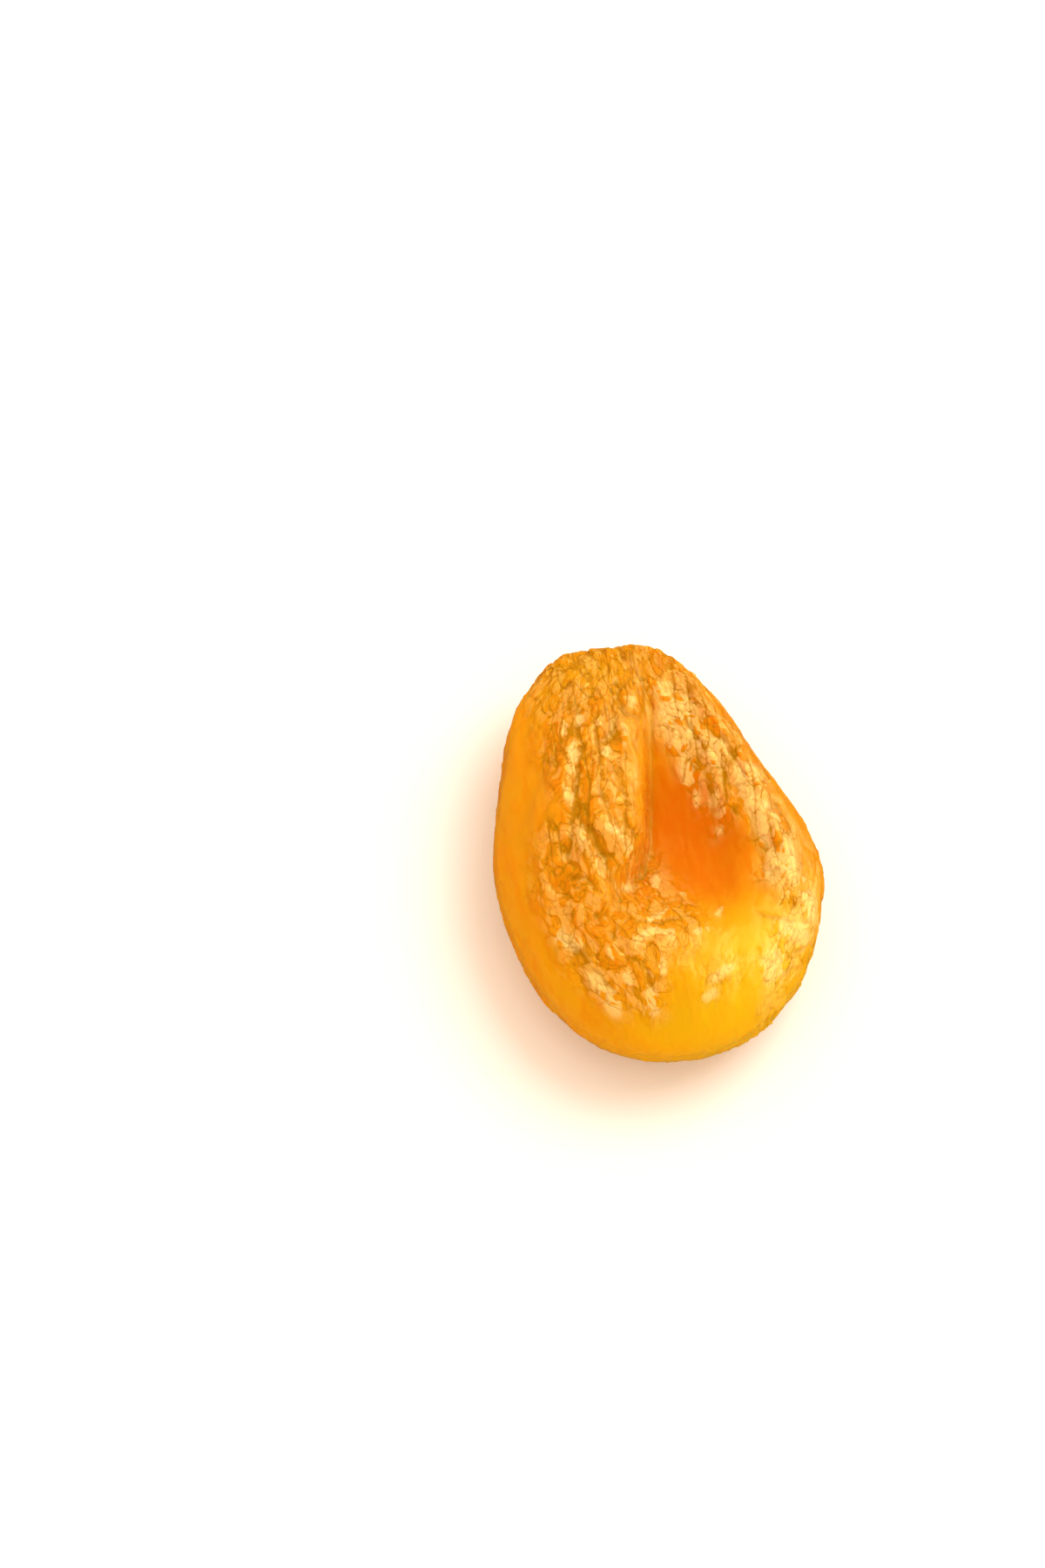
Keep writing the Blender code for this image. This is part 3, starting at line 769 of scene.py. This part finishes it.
def makeSkinMaterial():
    material = bpy.data.materials.new("dried_apricot_skin")
    material.use_nodes = True
    tree = material.node_tree
    tree.nodes.clear()
    look = skinLook

    def kept(name, output="Fac"):
        return addNode(tree, "ShaderNodeAttribute", {"attribute_name": name}).outputs[output]

    def times(first, second):
        return addMath(tree, "MULTIPLY", first, second)

    def without(value):
        return addMath(tree, "SUBTRACT", 1.0, value)

    def tinted(share, colour, name):
        node = addNode(tree, "ShaderNodeMix", {"data_type": "RGBA"},
                       {"Factor": share, 6: colour, 7: linearColour(look[name])})
        return node.outputs[2]

    def stretched(spacing, stretch):
        return addScaled(tree, addVector(tree, "MULTIPLY", place, stretch), 1 / spacing / mm)

    place = addNode(tree, "ShaderNodeTexCoord").outputs["Object"]
    crease_shade, wrinkle_ridge_highlight, basin, ripe = kept("crease_shade"), kept("wrinkle_ridge_highlight"), kept("basin"), kept("ripe")
    patched, cover = kept("patched"), kept("cover")
    broadSpot, fineSpot = kept("broad_plates", "Vector"), kept("fine_plates", "Vector")

    # the flesh, riper in blotches and at the tip, deeper in the sunken middle
    blotch = addRange(tree, addNoise(tree, place, 1 / look["blotch"] / mm, 2.0), *look["blotchRange"])
    colour = tinted(times(blotch, look["blotchShare"]), linearColour(look["flesh"]), "ripe")
    colour = tinted(ripe, colour, "ripe")
    colour = tinted(basin, colour, "deep")
    colour = tinted(times(times(patched, look["between"]), without(ripe)), colour, "deep")
    # painted highlight on the wrinkle ridges
    colour = tinted(times(wrinkle_ridge_highlight, look["wrinkle_ridge_highlight"]), colour, "pale")

    # faint streaks from stem to tip, plainest on the plump flanks
    streak = addNoise(tree, stretched(look["streak"], look["streakStretch"]), 1.0, 3.0)
    onFlank = without(addMath(tree, "MAXIMUM", ripe, times(basin, look["streakFade"])))
    for name, (low, high) in look["streakRanges"].items():
        streaked = addRange(tree, streak, low, high, last=look["streakShare"])
        colour = tinted(times(streaked, onFlank), colour, name)
    # painted shade: creases and pressed folds are coloured darker
    colour = tinted(times(crease_shade, look["creaseShare"]), colour, "creaseShade")

    # crease lines thinner than the mesh can carry, round the same plates as the facets; they dent the bump
    # and are also painted darker as shade
    longSpot = addWander(tree, stretched(look["longLine"], look["longStretch"]), look["longWander"])
    fades = [along * mm for along in look["longFades"]]
    longLine = times(addCrinkle(tree, longSpot, look["lineWidth"]),
                     addEase(tree, addCoordinate(tree, place, "Y"), *fades))
    shortLines = addMath(tree, "ADD", addCrinkle(tree, broadSpot, look["lineWidth"]),
                         addCrinkle(tree, fineSpot, look["lineWidth"]))
    lines = addMath(tree, "ADD", times(shortLines, look["fineLine"]), longLine)
    onRidge = addEase(tree, cover, *look["ridgeCovers"])
    lines = times(lines, without(times(onRidge, look["ridgeCalm"])))

    # the pale patches and ridges, partly a painted highlight, and the painted shade of the lines over them
    highlightPatches = addMath(tree, "MAXIMUM", addPatches(tree, broadSpot, cover, look["patchEdge"]),
                      addPatches(tree, fineSpot, cover, look["finePatchEdge"]))
    highlightPatches = times(patched, highlightPatches)
    # partly a painted highlight: the pale patches on the plates
    colour = tinted(times(highlightPatches, look["patchShare"]), colour, "patchBloomAndHighlight")
    # painted highlight on the raised ridges
    colour = tinted(times(times(highlightPatches, onRidge), look["ridgeShare"]), colour, "raisedRidgeHighlight")
    # painted shade along the crease lines
    shade = addNode(tree, "ShaderNodeMath", {"operation": "MULTIPLY", "use_clamp": True},
                    {0: times(lines, patched), 1: look["lineShade"]}).outputs[0]
    colour = tinted(shade, colour, "creaseShade")

    roughness = addMath(tree, "ADD", times(basin, look["dull"] - look["satin"]),
                        addRange(tree, highlightPatches, 0.0, 1.0, look["satin"], look["glossy"]))
    crinkle = addMath(tree, "SUBTRACT", times(addPlateSlope(tree, fineSpot), look["fineSlope"]), lines)
    creased = addNode(tree, "ShaderNodeBump", None, {
        "Height": times(crinkle, patched), "Strength": 1.0, "Distance": look["lineDepth"] * mm,
    }).outputs["Normal"]
    bump = addNode(tree, "ShaderNodeBump", None, {
        "Height": streak, "Strength": look["streakBump"], "Distance": look["streakRise"] * mm,
        "Normal": creased,
    }).outputs["Normal"]
    shader = addNode(tree, "ShaderNodeBsdfPrincipled", None, {
        "Base Color": colour,
        "Roughness": roughness,
        "Specular Tint": linearColour(look["sheen"]),
        "IOR": look["bending"],
        "Subsurface Weight": look["fleshShare"],
        "Subsurface Radius": look["fleshReach"],
        "Subsurface Scale": look["scatter"] * mm,
        "Normal": bump,
    })
    addNode(tree, "ShaderNodeOutputMaterial", None, {"Surface": shader.outputs["BSDF"]})
    print("skin material made")
    return material


# floor and light
studio = {
    "floorSize": 6.0,
    "floor": "FFFFFF",
    "distance": 0.6,
    "soft_box": ((0.50, 0.26, 0.83), 0.40, 1.8),        # where it shines from, its size and power
    "top_panel": ((0.106, 0.425, 0.899), 0.20, 1.0),
    "right_panel": ((0.70, 0.42, 0.58), 0.46, 2.6),
    "side_panel": ((0.88, 0.06, 0.46), 0.5, 2.0),
    "fillStrength": 1.14,
    "fillColour": "FFE9D0",
    "glossStrength": 0.05,
    "backdrop": "FFFFFF",
}


def makeSoftBox(name):
    comesFrom, size, power = studio[name]
    light = bpy.data.lights.new(name, "AREA")
    light.shape = "SQUARE"
    light.size = size
    light.energy = power
    lamp = bpy.data.objects.new(name, light)
    bpy.context.collection.objects.link(lamp)
    direction = Vector(comesFrom).normalized()
    lamp.location = fruitMiddle + direction * studio["distance"]
    lamp.rotation_euler = (-direction).to_track_quat("-Z", "Y").to_euler()
    return lamp


def makeFloor():
    half = studio["floorSize"] / 2
    mesh = bpy.data.meshes.new("floor")
    corners = [(-half, -half, 0.0), (half, -half, 0.0), (half, half, 0.0), (-half, half, 0.0)]
    mesh.from_pydata(corners, [], [(0, 1, 2, 3)])
    floor = bpy.data.objects.new("floor", mesh)
    bpy.context.collection.objects.link(floor)
    paper = bpy.data.materials.new("white_paper")
    paper.use_nodes = True
    shader = paper.node_tree.nodes["Principled BSDF"]
    shader.inputs["Base Color"].default_value = linearColour(studio["floor"])
    shader.inputs["Roughness"].default_value = 1.0
    shader.inputs["Specular IOR Level"].default_value = 0.0
    mesh.materials.append(paper)
    floor.visible_glossy = False    # the fruit's gloss shows the panels, not the table


def makeLights():
    makeSoftBox("soft_box").visible_glossy = False      # this one throws the shadow
    for name in ("top_panel", "right_panel", "side_panel"):
        makeSoftBox(name).visible_diffuse = False       # these only shine in the gloss

    world = bpy.data.worlds.new("studio_air")
    bpy.context.scene.world = world
    world.use_nodes = True
    tree = world.node_tree
    tree.nodes.clear()
    rays = addNode(tree, "ShaderNodeLightPath").outputs
    seen = addNode(tree, "ShaderNodeMix", {"data_type": "FLOAT"},
                   {"Factor": rays["Is Glossy Ray"], 2: studio["fillStrength"], 3: studio["glossStrength"]})
    shown = addNode(tree, "ShaderNodeMix", {"data_type": "FLOAT"},
                    {"Factor": rays["Is Camera Ray"], 2: seen.outputs[0], 3: 1.0})
    warm = addNode(tree, "ShaderNodeMix", {"data_type": "RGBA"}, {
        "Factor": rays["Is Diffuse Ray"],
        6: linearColour(studio["backdrop"]),
        7: linearColour(studio["fillColour"]),
    })
    air = addNode(tree, "ShaderNodeBackground", None,
                  {"Color": warm.outputs[2], "Strength": shown.outputs[0]})
    addNode(tree, "ShaderNodeOutputWorld", None, {"Surface": air.outputs["Background"]})
    bpy.context.scene.view_settings.view_transform = "Standard"
    print("studio lit")


# the camera, looking down on the fruit, which falls where the photographed one does
shot = {
    "azimuth": -14.0,           # degrees
    "elevation": 64.0,
    "roll": 6.0,
    "lens": 100.0,              # mm
    "sensor": 36.0,
    "clip": (0.01, 20.0),       # metres
    "imageWidth": 1200,
    "imageHeight": 1800,
    "pixelsPerMm": 12.4,
    "fruitAt": (752, 975),      # pixel of the photograph where the fruit's middle falls
}


def makeCamera():
    azimuth, elevation, roll = (math.radians(shot[name]) for name in ("azimuth", "elevation", "roll"))
    level = math.cos(elevation)
    back = Vector((math.sin(azimuth) * level, -math.cos(azimuth) * level, math.sin(elevation)))
    right = Vector((math.cos(azimuth), math.sin(azimuth), 0.0))
    up = back.cross(right)
    turnedRight = right * math.cos(roll) + up * math.sin(roll)
    turnedUp = up * math.cos(roll) - right * math.sin(roll)
    perMetre = shot["pixelsPerMm"] / mm
    distance = shot["lens"] / shot["sensor"] * shot["imageHeight"] / perMetre
    offRight = (shot["fruitAt"][0] - shot["imageWidth"] / 2) / perMetre
    offDown = (shot["fruitAt"][1] - shot["imageHeight"] / 2) / perMetre
    data = bpy.data.cameras.new("camera")
    data.sensor_fit = "AUTO"
    data.sensor_width = shot["sensor"]
    data.lens = shot["lens"]
    data.clip_start, data.clip_end = shot["clip"]
    camera = bpy.data.objects.new("camera", data)
    bpy.context.collection.objects.link(camera)
    place = Matrix((turnedRight, turnedUp, back)).transposed().to_4x4()
    place.translation = fruitMiddle + back * distance - turnedRight * offRight + turnedUp * offDown
    camera.matrix_world = place
    bpy.context.scene.camera = camera
    print("camera placed")


skin = makeSkin(makeSkinMaterial())
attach(skin, "root")
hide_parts("dried_apricot")
makeFloor()
makeLights()
makeCamera()
print("scene ready")
